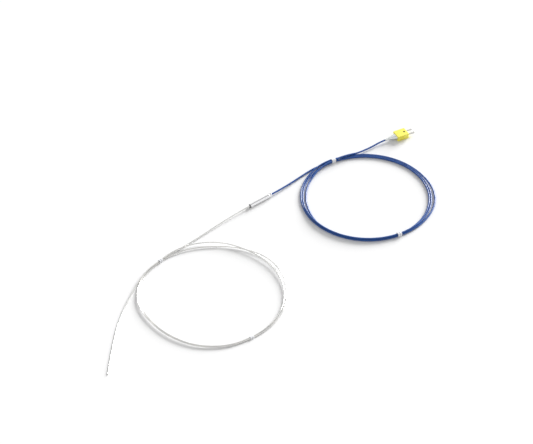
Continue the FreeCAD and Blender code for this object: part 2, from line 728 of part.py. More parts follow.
base = shell("plug_base", "0", "plugBaseHeight", "0")
room(base, bladeLow, "bladeThickness")
tongueSlots(base, "plugBaseHeight - tongueWidth / 2", "tongueWidth / 2")
for sign, pole, width in poles:
    raised(base, "Pocket", rectangle(
        roomFront, "plugLength", signed(sign, f"bladePitch / 2 - {width} / 2 - fitGap"),
        signed(sign, f"bladePitch / 2 + {width} / 2 + fitGap")), "bladeThickness", bladeLow)
    raised(base, "Pocket", circleAt(
        "terminalX", signed(sign, "bladePitch / 2"), "terminalDia + 2 * fitGap"),
        "terminalDepth + fitGap", bladeLow + " - terminalDepth - fitGap")
raised(base, "Pocket", circleAt(
    "coverScrewX", "0", "coverScrewDia + 2 * insertWall + 2 * fitGap"),
    "insertLength", "plugBaseHeight - insertLength")

cover = shell("plug_cover", joint, "plugCoverHeight", roof)
room(cover, joint, "plugCoverHeight - plugFloor")
tongueSlots(cover, joint, "tongueWidth / 2")
raised(cover, "Pocket", circleAt("coverScrewX", "0", "coverScrewDia + 2 * fitGap"),
       "plugCoverHeight", joint)
raised(cover, "Pocket", circleAt("coverScrewX", "0", "coverScrewHead + 4 * fitGap"),
       "coverScrewHeadHeight + coverScrewSink",
       roof + " - coverScrewHeadHeight - coverScrewSink")

for sign, pole, width in poles:
    middle = signed(sign, "bladePitch / 2")
    blade = newBody("blade_" + pole, **onPlugFrame)
    tip = "plugLength + bladeOut"

    def bladeOutline(sketch):
        low, high = f"{middle} - {width} / 2", f"{middle} + {width} / 2"
        drawPolygon(sketch, [
            ("bladeTail", low), (tip + " - bladeTip", low), (tip, low + " + bladeTip"),
            (tip, high + " - bladeTip"), (tip + " - bladeTip", high), ("bladeTail", high)])
        drawCircle(sketch, "terminalX", middle, "terminalDia + 2 * fitGap")

    raised(blade, "Pad", bladeOutline, "bladeThickness", bladeLow)

    washer = newBody("terminal_washer_" + pole, **onPlugFrame)

    def washerOutline(sketch):
        drawPolygon(sketch, box4(
            "terminalX - washerSide / 2", "terminalX + washerSide / 2",
            middle + " - washerSide / 2", middle + " + washerSide / 2"))
        drawCircle(sketch, "terminalX", middle, "terminalDia + 2 * fitGap")

    raised(washer, "Pad", washerOutline, "washerThickness", washerLow)


def screw(label, x, y, headDia, headLow, headHeight, shankDia, shankEnd):
    """A slotted cheese-head screw that points down, in the plug's frame."""
    body = newBody(label, **onPlugFrame)
    head = raised(body, "Pad", circleAt(x, y, headDia), headHeight, headLow)
    raised(body, "Pad", circleAt(x, y, shankDia), f"{headLow} - ({shankEnd})", shankEnd)
    raised(body, "Pocket", rectangle(
        f"{x} - {headDia} / 2 - fitGap", f"{x} + {headDia} / 2 + fitGap",
        f"{y} - slotWidth / 2", f"{y} + slotWidth / 2"),
        "slotDepth", f"{headLow} + {headHeight} - slotDepth")
    return head


for sign, pole, width in poles:
    screw("terminal_screw_" + pole, "terminalX", signed(sign, "bladePitch / 2"),
          "terminalHeadDia", washerLow + " + washerThickness", "terminalHeadHeight",
          "terminalDia", bladeLow + " - terminalDepth")
screw("cover_screw", "coverScrewX", "0", "coverScrewHead",
      f"({roof} - coverScrewSink - coverScrewHeadHeight)", "coverScrewHeadHeight",
      "coverScrewDia", "plugBaseHeight - insertLength + fitGap")

insert = newBody("threaded_insert", **onPlugFrame)


def insertOutline(sketch):
    drawCircle(sketch, "coverScrewX", "0", "coverScrewDia + 2 * insertWall")
    drawCircle(sketch, "coverScrewX", "0", "coverScrewDia + 2 * fitGap")


raised(insert, "Pad", insertOutline, "insertLength", "plugBaseHeight - insertLength")

grommet = newBody("entry_grommet", **onPlugFrame)


def grommetOutline(sketch):
    drawCircle(sketch, "0", joint, "grommetDia")
    drawCircle(sketch, "0", joint, "leadDia + 2 * fitGap")


raised(grommet, "Pad", grommetOutline, roomBack, "0", "YZ")

jacketEnd = newBody("lead_jacket_end", **onPlugFrame)


def jacketOutline(sketch):
    drawCircle(sketch, "0", joint, "leadDia")
    for sign in (-1, 1):
        drawCircle(sketch, signed(sign, f"{corePitch} / 2"), joint, coreDia)


raised(jacketEnd, "Pad", jacketOutline,
       "clampLength + barrelLength + jacketInPlug", "-clampLength - barrelLength", "YZ")

# The cores leave the jacket inside the plug, part round the rib and end bare, each
# under its washer beside the screw.
wireUp = plugAxisHeight + size("wireDia") / 2
wireSide = (size("bladePitch") - size("terminalDia") - size("wireDia")) / 2 - size("fitGap")
wireEnd = size("terminalX") + size("washerSide") / 2
for sign, pole, width in poles:
    bend = [V(clampEnd, sign * coreHalf, plugAxisHeight),
            V(size("corePartX"), sign * coreHalf, plugAxisHeight),
            V(size("coreLayX"), sign * wireSide, wireUp),
            V(wireEnd, sign * wireSide, wireUp)]
    wire = sweep(bend, size("wireDia"))
    bareFrom = size("terminalX") - size("washerSide") / 2 - size("fitGap")
    skin = sweep(bend, value(coreDia)).cut(wire)
    skin = skin.cut(Part.makeBox(40, 20, 20, V(bareFrom, -10, 0)))
    skin = skin.cut(Part.makeBox(
        40, 20, 20, V(size("bladeTail") - 0.2, -10, plugAxisHeight - 20)))
    feature("plug_wire_" + pole, wire, plugPlace)
    feature("plug_insulation_" + pole, skin, plugPlace)


def ellipse(x, width, height):
    """An upright ellipse across the lead's axis."""
    major = V(x, width / 2, plugAxisHeight)
    minor = V(x, 0, plugAxisHeight + height / 2)
    return Part.Wire([Part.Ellipse(major, minor, V(x, 0, plugAxisHeight)).toShape()])


def hoodShape():
    """The clamp: a tapered hood from an oval at the plug to a barrel round the jacket,
    with a seam below the barrel and two tongues that the shells hold."""
    metal, bore = size("clampSheet"), size("leadDia") + 2 * size("fitGap")
    wide, tall, reach = size("hoodWidth"), size("hoodHeight"), size("clampLength")
    almostRound = 1.002  # an ellipse's first diameter has to be the larger

    def solid(shrink):
        """The hood and its barrel as one loft, with every section smaller by shrink."""
        across = bore + 2 * metal - shrink
        sections = [ellipse(0, wide - shrink, tall - shrink)]
        sections += [ellipse(x, across * almostRound, across) for x in (-reach, clampEnd)]
        return Part.makeLoft(sections, True, True)

    shape = solid(0).cut(solid(2 * metal))
    shape = shape.cut(Part.makeBox(
        size("barrelLength") * 0.8, metal, tall, V(clampEnd, -metal / 2, plugAxisHeight - tall)))
    for side in (wide / 2 - metal, -wide / 2):
        shape = shape.fuse(Part.makeBox(
            size("tongueLength") + metal, metal, size("tongueWidth"),
            V(-metal, side, plugAxisHeight - size("tongueWidth") / 2)))
    return shape


feature("cable_clamp", hoodShape(), plugPlace)

# Every object and sub-part is checked before anything is written.
doc.recompute()
faults = [obj.Name for obj in doc.Objects if {"Invalid", "Error"} & set(obj.State)]
for part in nodes:
    if part.Shape.isNull() or not part.Shape.isValid() or not part.Shape.Solids:
        faults.append(part.Label)
if faults:
    raise ValueError("these did not build: " + ", ".join(faults))

os.makedirs("parts", exist_ok=True)
for part in nodes:
    part.Shape.exportStep(f"parts/{part.Label}.step")
print(f"{len(nodes)} nodes written")
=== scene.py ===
import json
import math

import bpy
import numpy as np
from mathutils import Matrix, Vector


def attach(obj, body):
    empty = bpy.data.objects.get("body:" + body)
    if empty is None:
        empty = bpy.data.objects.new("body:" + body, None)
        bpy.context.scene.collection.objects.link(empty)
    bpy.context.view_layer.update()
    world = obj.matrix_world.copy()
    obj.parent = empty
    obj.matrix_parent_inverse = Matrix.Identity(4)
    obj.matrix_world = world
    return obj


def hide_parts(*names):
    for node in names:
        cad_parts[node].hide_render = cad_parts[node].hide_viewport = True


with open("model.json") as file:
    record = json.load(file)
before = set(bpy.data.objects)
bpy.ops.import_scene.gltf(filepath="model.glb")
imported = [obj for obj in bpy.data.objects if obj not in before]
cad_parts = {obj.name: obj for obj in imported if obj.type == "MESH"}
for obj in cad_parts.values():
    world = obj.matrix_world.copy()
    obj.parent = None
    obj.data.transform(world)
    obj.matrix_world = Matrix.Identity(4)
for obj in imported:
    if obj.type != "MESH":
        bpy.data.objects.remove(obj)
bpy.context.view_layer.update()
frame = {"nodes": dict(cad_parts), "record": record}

# A thermocouple as it lies on a table: coiled steel sheath, transition sleeve, coiled
# blue lead and yellow flat-pin plug. Metres throughout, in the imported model's own frame.

nodes = frame["nodes"]
print("frame loaded:", len(nodes), "nodes")

# ---- camera
camera = {
    "target": (-0.0211, -0.0392, 0.0),
    "azimuth": -39.57,     # degrees, 0 looks along +Y
    "elevation": 41.3,
    "distance": 3.1674,
    "lens": 150.8,         # mm, on the sensor's width below
    "sensor": 36.0,
}


def direction(azimuth, elevation):
    around, above = math.radians(azimuth), math.radians(elevation)
    return Vector((math.sin(around) * math.cos(above),
                   -math.cos(around) * math.cos(above), math.sin(above)))


def aim(thing, place, target):
    thing.location = place
    thing.rotation_mode = "QUATERNION"
    thing.rotation_quaternion = (Vector(target) - place).to_track_quat("-Z", "Y")


def makeCamera():
    data = bpy.data.cameras.new("Camera")
    data.lens, data.sensor_width = camera["lens"], camera["sensor"]
    data.clip_start, data.clip_end = 0.1, 60
    eye = bpy.data.objects.new("Camera", data)
    bpy.context.scene.collection.objects.link(eye)
    back = direction(camera["azimuth"], camera["elevation"])
    aim(eye, Vector(camera["target"]) + back * camera["distance"], camera["target"])
    bpy.context.scene.camera = eye


makeCamera()


# ---- materials
# A node material; every pattern reads Object coordinates, in metres.
def newMaterial(name, **values):
    material = bpy.data.materials.new(name)
    material.use_nodes = True
    shader = material.node_tree.nodes["Principled BSDF"]
    for socket, value in values.items():
        shader.inputs[socket.replace("_", " ")].default_value = value
    return material, material.node_tree, shader


def addNode(tree, kind, **values):
    node = tree.nodes.new("ShaderNode" + kind)
    for key, value in values.items():
        if key in node.inputs:
            node.inputs[key].default_value = value
        else:
            setattr(node, key, value)
    return node


# A noise whose cells are stretch times longer along each axis than one part in scale.
def noise(tree, scale, stretch=(1, 1, 1), detail=4.0):
    coords = addNode(tree, "TexCoord")
    mapping = addNode(tree, "Mapping")
    mapping.inputs["Scale"].default_value = [1 / s for s in stretch]
    texture = addNode(tree, "TexNoise", Scale=scale, Detail=detail)
    tree.links.new(coords.outputs["Object"], mapping.inputs["Vector"])
    tree.links.new(mapping.outputs["Vector"], texture.inputs["Vector"])
    return texture


# Spreads a noise's middle range over two values, such as two roughnesses.
def between(tree, source, low, high):
    spread = addNode(tree, "MapRange")
    for name, value in (("From Min", 0.3), ("From Max", 0.7), ("To Min", low), ("To Max", high)):
        spread.inputs[name].default_value = value
    tree.links.new(source.outputs["Fac"], spread.inputs["Value"])
    return spread


def mixColours(tree, source, first, second):
    ramp = addNode(tree, "ValToRGB")
    ramp.color_ramp.elements[0].position, ramp.color_ramp.elements[1].position = 0.3, 0.7
    ramp.color_ramp.elements[0].color = (*first, 1)
    ramp.color_ramp.elements[1].color = (*second, 1)
    tree.links.new(source.outputs["Fac"], ramp.inputs["Fac"])
    return ramp


def addBump(tree, shader, source, strength, depth):
    bump = addNode(tree, "Bump", Strength=strength, Distance=depth)
    tree.links.new(source.outputs["Fac"], bump.inputs["Height"])
    tree.links.new(bump.outputs["Normal"], shader.inputs["Normal"])


# One finish: colour and roughness drift over large patches, bump is a finer grain.
def finish(name, colours, rough, patch, grain, bump=0.2, depth=0.00001, **values):
    material, tree, shader = newMaterial(name, **values)
    drift = noise(tree, *patch)
    tree.links.new(mixColours(tree, drift, *colours).outputs["Color"],
                   shader.inputs["Base Color"])
    tree.links.new(between(tree, drift, *rough).outputs["Result"], shader.inputs["Roughness"])
    addBump(tree, shader, noise(tree, *grain), bump, depth)
    return material


# Painted shade: darkens a finish towards -X, at the sleeve's closed end, for the shadowed floor
# reflected there.
def shadeClosedEnd(material, start, end, shade):
    tree = material.node_tree
    shader = tree.nodes["Principled BSDF"]
    coords, split, fade = (addNode(tree, kind) for kind in ("TexCoord", "SeparateXYZ", "MapRange"))
    for name, value in (("From Min", end), ("From Max", start), ("To Min", shade), ("To Max", 1)):
        fade.inputs[name].default_value = value
    dark = addNode(tree, "MixRGB", blend_type="MULTIPLY")
    dark.inputs["Fac"].default_value = 1
    source = shader.inputs["Base Color"].links[0].from_socket
    tree.links.new(coords.outputs["Object"], split.inputs[0])
    tree.links.new(split.outputs["X"], fade.inputs["Value"])
    tree.links.new(source, dark.inputs["Color1"])
    tree.links.new(fade.outputs["Result"], dark.inputs["Color2"])
    tree.links.new(dark.outputs["Color"], shader.inputs["Base Color"])


sheathSteel = finish(
    "sheathSteel", ((0.68, 0.68, 0.67), (0.77, 0.76, 0.74)), (0.14, 0.24),
    (60,), (2600, (1, 1, 1), 2.0), bump=0.12, depth=0.00002, Metallic=1.0)
sleeveSteel = finish(
    "sleeveSteel", ((0.84, 0.84, 0.85), (0.91, 0.91, 0.92)), (0.08, 0.15),
    (180, (1, 1, 1)), (2200, (0.25, 6, 6), 3.0), bump=0.15, depth=0.00001, Metallic=1.0)
# Painted shade on the sleeve's closed end, standing in for the shadow it reflects.
closedEndShade = {
    "start": -0.0188,      # along X, where the steel is still bright
    "end": -0.0194,        # just inside the closed end's face
    "shade": 0.3,
}
shadeClosedEnd(sleeveSteel, **closedEndShade)
clampSteel = finish(
    "clampSteel", ((0.68, 0.71, 0.71), (0.80, 0.82, 0.82)), (0.16, 0.26),
    (300,), (3000,), bump=0.15, Metallic=1.0)
leadBlue = finish(
    "leadBlue", ((0.002, 0.058, 0.27), (0.004, 0.075, 0.32)), (0.3, 0.4),
    (90,), (1400, (1, 1, 1), 2.0), bump=0.1, depth=0.00003, Coat_Weight=0.08)
plugYellow = finish(
    "plugYellow", ((0.92, 0.82, 0.085), (0.95, 0.87, 0.12)), (0.38, 0.48),
    (200,), (4500,), bump=0.25, depth=0.00002, Coat_Weight=0.1)
tieWhite = finish(
    "tieWhite", ((0.80, 0.81, 0.84), (0.88, 0.89, 0.91)), (0.3, 0.42),
    (500,), (3500,), bump=0.2)
bladeAlloy = finish(
    "bladeAlloy", ((0.50, 0.49, 0.47), (0.60, 0.59, 0.56)), (0.2, 0.34),
    (400,), (2600, (5, 0.3, 5)), bump=0.15, Metallic=1.0)
screwSteel = finish(
    "screwSteel", ((0.42, 0.43, 0.44), (0.52, 0.52, 0.52)), (0.3, 0.42),
    (700,), (4000,), bump=0.2, Metallic=1.0)
# Painted shade: the cover screw is coloured near black for the shade in its sunk hole.
screwHoleShade = finish(
    "screwHoleShade", ((0.05, 0.05, 0.035), (0.09, 0.085, 0.06)), (0.45, 0.6),
    (700,), (4000,), bump=0.2, Metallic=0.6)
insertBrass = finish(
    "insertBrass", ((0.62, 0.42, 0.14), (0.72, 0.52, 0.20)), (0.25, 0.4),
    (700,), (4000,), bump=0.25, Metallic=1.0)
mineralPowder = finish(
    "mineralPowder", ((0.80, 0.79, 0.74), (0.90, 0.89, 0.85)), (0.8, 0.95),
    (900,), (6000,), bump=0.5, depth=0.00004)
castingResin = finish(
    "castingResin", ((0.018, 0.016, 0.014), (0.03, 0.027, 0.024)), (0.25, 0.4),
    (400,), (1800,), bump=0.15, Coat_Weight=0.3)
bushRubber = finish(
    "bushRubber", ((0.012, 0.012, 0.013), (0.022, 0.022, 0.023)), (0.55, 0.7),
    (700,), (4000,), bump=0.3, depth=0.00002)
coreYellow = finish(
    "coreYellow", ((0.80, 0.56, 0.02), (0.86, 0.64, 0.03)), (0.35, 0.45),
    (700,), (4000,), bump=0.15)
coreRed = finish(
    "coreRed", ((0.50, 0.02, 0.015), (0.60, 0.03, 0.02)), (0.35, 0.45),
    (700,), (4000,), bump=0.15)
elementAlloy = finish(
    "elementAlloy", ((0.42, 0.41, 0.39), (0.50, 0.48, 0.45)), (0.3, 0.45),
    (900,), (5000,), bump=0.2, Metallic=1.0)
spliceNickel = finish(
    "spliceNickel", ((0.60, 0.57, 0.51), (0.68, 0.65, 0.60)), (0.25, 0.4),
    (900,), (5000,), bump=0.2, Metallic=1.0)
sleevingWhite = finish(
    "sleevingWhite", ((0.74, 0.73, 0.68), (0.84, 0.83, 0.79)), (0.7, 0.85),
    (1200,), (7000,), bump=0.5, depth=0.00003)
print("materials made")

slotMaterials = {
    "sheath_steel": sheathSteel, "sleeve_steel": sleeveSteel, "clamp_steel": clampSteel,
    "lead_jacket": leadBlue, "plug_yellow": plugYellow, "tie_white": tieWhite,
    "blade_alloy": bladeAlloy, "screw_steel": screwSteel, "insert_brass": insertBrass,
    "mineral_powder": mineralPowder, "casting_resin": castingResin,
    "bush_rubber": bushRubber, "core_yellow": coreYellow, "core_red": coreRed,
    "element_alloy": elementAlloy, "splice_nickel": spliceNickel,
    "sleeving_white": sleevingWhite,
}
for part in frame["record"]["subparts"]:
    material = slotMaterials[part["material_slot"]]
    for index in range(len(nodes[part["node"]].material_slots)):
        nodes[part["node"]].material_slots[index].material = material
# The cover screw takes the near-black painted shade of its hole.
for slot in nodes["cover_screw"].material_slots:
    slot.material = screwHoleShade


# ---- cords
# A smooth line through stations: a cubic between each two, whose slope at a station is
# the harmonic mean of the slopes on both sides, or none where they have opposite signs.
def through(x, xs, ys):
    step = np.diff(xs)
    slope = np.diff(ys) / step
    product = slope[1:] * slope[:-1]
    inner = np.where(product > 0, 2 * product / (slope[1:] + slope[:-1] + 1e-30), 0)
    slopes = np.concatenate([[slope[0]], inner, [slope[-1]]])
    low = np.clip(np.searchsorted(xs, x, side="right") - 1, 0, len(step) - 1)
    u = (x - xs[low]) / step[low]
    return ((2 * u ** 3 - 3 * u ** 2 + 1) * ys[low] + (3 * u ** 2 - 2 * u ** 3) * ys[low + 1]
            + (u ** 3 - 2 * u ** 2 + u) * step[low] * slopes[low]
            + (u ** 3 - u ** 2) * step[low] * slopes[low + 1])


# Control points of a coil: centre + radius (cos a, sin a) at a height, one every
# stepAngle, with radius and height drawn through the stations (angle, radius, height).
# A quadratic spline runs inside its points by the cosine of half a step.
def wind(cord):
    angle, radius, height = np.array(cord["stations"]).T
    sense = np.sign(angle[-1] - angle[0])
    count = round(abs(angle[-1] - angle[0]) / cord["stepAngle"]) + 1
    at = np.linspace(angle[0], angle[-1], count)
    turns = through(at * sense, angle * sense, radius)
    level = through(at * sense, angle * sense, height)
    turns = turns / math.cos(math.radians(abs(at[1] - at[0])) / 2)
    around = np.radians(at)
    return np.c_[cord["centre"][0] + turns * np.cos(around),
                 cord["centre"][1] + turns * np.sin(around), level]


def layCord(name, cord, material):
    points = np.concatenate([cord["routeIn"], wind(cord), cord["routeOut"]])
    curve = bpy.data.curves.new(name, "CURVE")
    curve.dimensions = "3D"
    spline = curve.splines.new("NURBS")
    spline.points.add(len(points) - 1)
    spline.points.foreach_set("co", np.c_[points, np.ones(len(points))].ravel())
    spline.order_u = 3
    spline.use_endpoint_u = True
    spline.resolution_u = 6
    curve.bevel_depth = cord["diameter"] / 2
    curve.bevel_resolution = 4
    curve.use_fill_caps = True
    curve.materials.append(material)
    piece = bpy.data.objects.new(name, curve)
    bpy.context.scene.collection.objects.link(piece)
    return piece


sheath = {
    "diameter": 0.0016,
    "length": 1.62,
    "routeIn": [
        (-0.0195, 0.0, 0.003), (-0.036, 0.0, 0.003), (-0.0743, -0.0016, 0.0023),
        (-0.1183, -0.0054, 0.0013), (-0.1463, -0.0069, 0.0013)],
    "centre": (-0.1741, -0.109),
    "stepAngle": 7.5,
    "stations": [
        (88, 0.1016, 0.0013), (98, 0.1008, 0.0013), (120, 0.1028, 0.0017),
        (143, 0.1032, 0.0022), (158, 0.1020, 0.0024), (178, 0.0996, 0.0024),
        (198, 0.1006, 0.0022), (222, 0.1032, 0.0019), (240, 0.1033, 0.0015),
        (263, 0.1008, 0.0013), (290, 0.1010, 0.0017), (318, 0.1014, 0.0021),
        (340, 0.1030, 0.0023), (362, 0.1042, 0.0022), (380, 0.1018, 0.0018),
        (396, 0.0992, 0.0016), (411, 0.0970, 0.0017), (432, 0.0978, 0.0018),
        (447, 0.0986, 0.0015), (458, 0.0992, 0.0013), (480, 0.1008, 0.0016),
        (503, 0.1012, 0.0021), (518, 0.1000, 0.0024), (538, 0.0978, 0.0024),
        (558, 0.0987, 0.0022), (582, 0.1014, 0.0019), (600, 0.1015, 0.0015),
        (623, 0.0992, 0.0013), (650, 0.0985, 0.0018), (692, 0.0980, 0.0026),
        (724, 0.0978, 0.0031), (742, 0.0990, 0.0035), (757, 0.1018, 0.0037),
        (772, 0.1044, 0.0033), (784, 0.1050, 0.0029), (797, 0.1040, 0.0027),
        (808, 0.1020, 0.0027), (818, 0.1000, 0.0027), (829, 0.1014, 0.0032),
        (840, 0.1036, 0.0028)],
    "routeOut": [
        (-0.2433, -0.0282, 0.0016), (-0.2643, -0.041, 0.0013), (-0.2903, -0.058, 0.0008),
        (-0.3243, -0.0866, 0.0008), (-0.3553, -0.119, 0.0008)],
}
lead = {
    "diameter": 0.0025,
    "length": 1.95,
    "routeIn": [
        (0.0195, 0.0, 0.003), (0.032, 0.0, 0.003), (0.0577, 0.002, 0.0021),
        (0.0857, 0.0051, 0.00175), (0.1027, 0.0063, 0.00175)],
    "centre": (0.1229, -0.0901),
    "stepAngle": 5.0,
    "stations": [
        (95, 0.0959, 0.00175), (80, 0.09375, 0.00175), (71, 0.0953, 0.00175),
        (10, 0.0953, 0.00175), (-4, 0.0955, 0.00175), (-40, 0.0984, 0.00175),
        (-75, 0.0953, 0.00175), (-101.5, 0.09375, 0.00175), (-180, 0.09375, 0.00175),
        (-223, 0.0940, 0.00175), (-236, 0.0943, 0.00175), (-266, 0.0943, 0.0041),
        (-280, 0.09375, 0.00425), (-294, 0.09285, 0.0019), (-310, 0.09285, 0.00175),
        (-350, 0.09285, 0.00175), (-404, 0.0929, 0.00175), (-440, 0.0927, 0.0029),
        (-461.5, 0.0925, 0.0039), (-540, 0.0924, 0.0039), (-570, 0.0917, 0.0022),
        (-583, 0.0914, 0.00175), (-616, 0.0917, 0.00175), (-640, 0.09125, 0.00175),
        (-652, 0.0904, 0.00175),
        (-710, 0.0904, 0.00175), (-764, 0.0900, 0.00175), (-821.5, 0.09125, 0.00175),
        (-895, 0.09125, 0.00175), (-922, 0.0878, 0.00175), (-943, 0.0868, 0.00175),
        (-962, 0.0873, 0.0020),
        (-982, 0.0893, 0.0039), (-992, 0.0908, 0.0043), (-1000, 0.09125, 0.00425),
        (-1006, 0.0917, 0.0053), (-1013, 0.0933, 0.0050), (-1018, 0.0951, 0.0043)],
    "routeOut": [
        (0.1752, -0.0084, 0.0033), (0.1907, -0.0102, 0.0026), (0.2060, -0.0111, 0.0027),
        (0.2208, -0.0117, 0.0037), (0.22775, -0.01300, 0.0040)],
}

sheathPiece = layCord("metalSheath", sheath, sheathSteel)
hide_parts("sheath_run", "sheath_coil", "sheath_tail")
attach(sheathPiece, "root")
leadPiece = layCord("extensionLead", lead, leadBlue)
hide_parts("lead_run_in", "lead_coil", "lead_run_out")
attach(leadPiece, "root")


# ---- turned, strapped and lofted pieces
sharpAbove = 40    # degrees between two faces, past which their edge stays crisp


# A skin over a grid of points whose columns close round. The rows close too where ring
# is set, and otherwise end in flat caps. Faces are turned outwards by the signed volume.
def skin(name, grid, material, replaced, ring=False):
    rows, columns = grid.shape[:2]
    index = np.arange(rows * columns).reshape(rows, columns)
    if ring:
        index = np.vstack([index, index[:1]])
    near, far = index[:-1], index[1:]
    quads = np.stack([near, np.roll(near, -1, 1), np.roll(far, -1, 1), far], -1).reshape(-1, 4)
    points = grid.reshape(-1, 3)
    first, second, third = (points[quads[:, k]] - points.mean(0) for k in (0, 1, 2))
    outward = np.einsum("ij,ij->i", first, np.cross(second, third)).sum() > 0
    faces = quads.tolist()
    if not ring:
        faces += [index[0][::-1].tolist(), index[-1].tolist()]
    if not outward:
        faces = [face[::-1] for face in faces]
    mesh = bpy.data.meshes.new(name)
    mesh.from_pydata(points.tolist(), [], faces)
    mesh.shade_smooth()
    mesh.set_sharp_from_angle(angle=math.radians(sharpAbove))
    mesh.materials.append(material)
    piece = bpy.data.objects.new(name, mesh)
    bpy.context.scene.collection.objects.link(piece)
    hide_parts(*replaced)
    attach(piece, "root")
    return piece


def unit(angle):
    return np.array([math.cos(math.radians(angle)), math.sin(math.radians(angle)), 0.0])


# A profile (along, radius) turned about the line from start in a level direction.
def turned(start, heading, along, radius, sides):
    around = np.linspace(0, 2 * np.pi, sides, endpoint=False)
    aside = np.cross([0, 0, 1], heading)
    out = np.cos(around)[:, None] * aside + np.sin(around)[:, None] * np.array([0, 0, 1.0])
    return (np.asarray(start) + along[:, None, None] * heading
            + radius[:, None, None] * out[None, :, :])


sleeve = {
    "length": 0.039,
    "radius": 0.003,
    "bore": 0.0023,
    "endWall": 0.003,
    "edge": 0.00045,
    "rim": 0.0002,
    "crimpAt": 0.0159,
    "crimpSpread": 0.00042,
    "crimpDepth": 0.00025,
    "filletOut": 0.0007,
    "filletSteep": 1.3,      # the fillet's rise over its run
    "hole": 0.00083,
}


# The sleeve's outline goes up a braze fillet round the sheath, over the rounded edge,
# along the body with a bell-shaped roll crimp, round the rim and back down the bore.
def makeSleeve():
    half, radius, edge, rim = (sleeve["length"] / 2, sleeve["radius"], sleeve["edge"],
                               sleeve["rim"])
    turn = np.linspace(0, np.pi / 2, 9)
    out = sleeve["filletOut"]
    filletX = -half - out * (1 - np.sin(turn))
    filletR = sleeve["hole"] + sleeve["filletSteep"] * out * (1 - np.cos(turn))
    edgeX, edgeR = -half + edge * (1 - np.cos(turn)), radius - edge * (1 - np.sin(turn))
    body = np.linspace(-half + edge, half - rim, 150)[1:-1]
    bodyR = radius - sleeve["crimpDepth"] * np.exp(
        -((body - sleeve["crimpAt"]) / sleeve["crimpSpread"]) ** 2)
    rimX, rimR = half - rim * (1 - np.sin(turn)), radius - rim * (1 - np.cos(turn))
    backX = np.array([half, half - rim, -half + sleeve["endWall"], -half + sleeve["endWall"]])
    backR = np.array([sleeve["bore"] + rim, sleeve["bore"], sleeve["bore"], sleeve["hole"]])
    along = np.concatenate([filletX, edgeX, body, rimX, backX])
    around = np.concatenate([filletR, edgeR, bodyR, rimR, backR])
    grid = turned((0, 0, radius), np.array([1.0, 0, 0]), along, around, 72)
    return skin("transitionSleeve", grid, sleeveSteel,
                ["transition_sleeve"], ring=True)


tip = {
    "start": (-0.3553, -0.119, 0.0008),
    "towards": (-0.6913, -0.7225, 0.0),
    "radius": 0.0008,
    "length": 0.030,
    "cap": 0.001,
    "weldRise": 0.00003,
    "weldSpread": 0.0003,
    "domed": 0.985,          # how much of a quarter circle the cap goes through
}


# The straight measuring end, then a domed cap, with a slight ring where it is welded.
def makeTip():
    heading = np.array(tip["towards"]) / np.linalg.norm(tip["towards"])
    straight = np.linspace(0, tip["length"], 60)
    rise = tip["weldRise"] * np.exp(-((straight - tip["length"]) / tip["weldSpread"]) ** 2)
    turn = np.linspace(0, np.pi / 2, 14)[1:] * tip["domed"]
    along = np.concatenate([straight, tip["length"] + tip["cap"] * np.sin(turn)])
    radius = np.concatenate([tip["radius"] + rise, tip["radius"] * np.cos(turn)])
    grid = turned(tip["start"], heading, along, radius, 32)
    return skin("measuringTip", grid, sheathSteel, ["sheath_tip", "tip_cap"])


ties = {
    "thickness": 0.0004,
    "squareness": 4.5,       # of the loop, where 2 is an ellipse
    "crown": 3.0,            # of the strap's section, in the same way
    "gap": 0.0005,
}
# Each tie lies round its cord's coil at an angle. Its middle is a radius and a height.
sheathTieA = {
    "cord": sheath,
    "angle": 98,
    "middle": (0.1002, 0.0021),
    "halfWide": 0.0021,
    "halfHigh": 0.0019,
    "width": 0.0056,
    "bands": 2,
}
sheathTieB = {
    "cord": sheath,
    "angle": 263,
    "middle": (0.1, 0.0015),
    "halfWide": 0.0019,
    "halfHigh": 0.0013,
    "width": 0.0056,
    "bands": 2,
}
leadTieA = {
    "cord": lead,
    "angle": 80,
    "middle": (0.0925, 0.003),
    "halfWide": 0.0028,
    "halfHigh": 0.0028,
    "width": 0.0064,
    "bands": 1,
}
leadTieB = {
    "cord": lead,
    "angle": -101.5,
    "middle": (0.0925, 0.00285),
    "halfWide": 0.0028,
    "halfHigh": 0.00265,
    "width": 0.0062,
    "bands": 2,
}


# A signed power of a cosine or sine, which squares off an ellipse.
def squared(wave, power):
    return np.sign(wave) * np.abs(wave) ** power


# A tie's strap: a rounded-square loop round the bundle, with a flat oval section. bands
# sets how many turns lie side by side across its width.
def makeTie(name, replaced, tie):
    radial, along = unit(tie["angle"]), unit(tie["angle"] + 90)
    up = np.array([0, 0, 1.0])
    radius, height = tie["middle"]
    middle = np.array([*tie["cord"]["centre"], 0.0]) + radial * radius + up * height
    bands = tie["bands"]
    each = (tie["width"] - (bands - 1) * ties["gap"]) / bands
    loop = np.linspace(0, 2 * np.pi, 96, endpoint=False)
    corner = 2 / ties["squareness"]
    flat = np.stack([tie["halfWide"] * squared(np.cos(loop), corner),
                     tie["halfHigh"] * squared(np.sin(loop), corner)], -1)
    ahead = np.roll(flat, -1, 0) - np.roll(flat, 1, 0)
    normal = np.stack([ahead[:, 1], -ahead[:, 0]], -1)
    normal /= np.linalg.norm(normal, axis=1)[:, None]
    section = np.linspace(0, 2 * np.pi, 20, endpoint=False)
    crown = 2 / ties["crown"]
    across = squared(np.cos(section), crown) * each / 2
    out = squared(np.sin(section), crown) * ties["thickness"] / 2
    side = flat[:, None, :] + normal[:, None, :] * out[None, :, None]
    pieces = []
    for band in range(bands):
        shift = (band - (bands - 1) / 2) * (each + ties["gap"])
        grid = (middle + side[..., :1] * radial + side[..., 1:] * up
                + (across + shift)[None, :, None] * along)
        pieces.append(skin(name if bands == 1 else f"{name}{band + 1}", grid, tieWhite,
                           [replaced], ring=True))
    return pieces


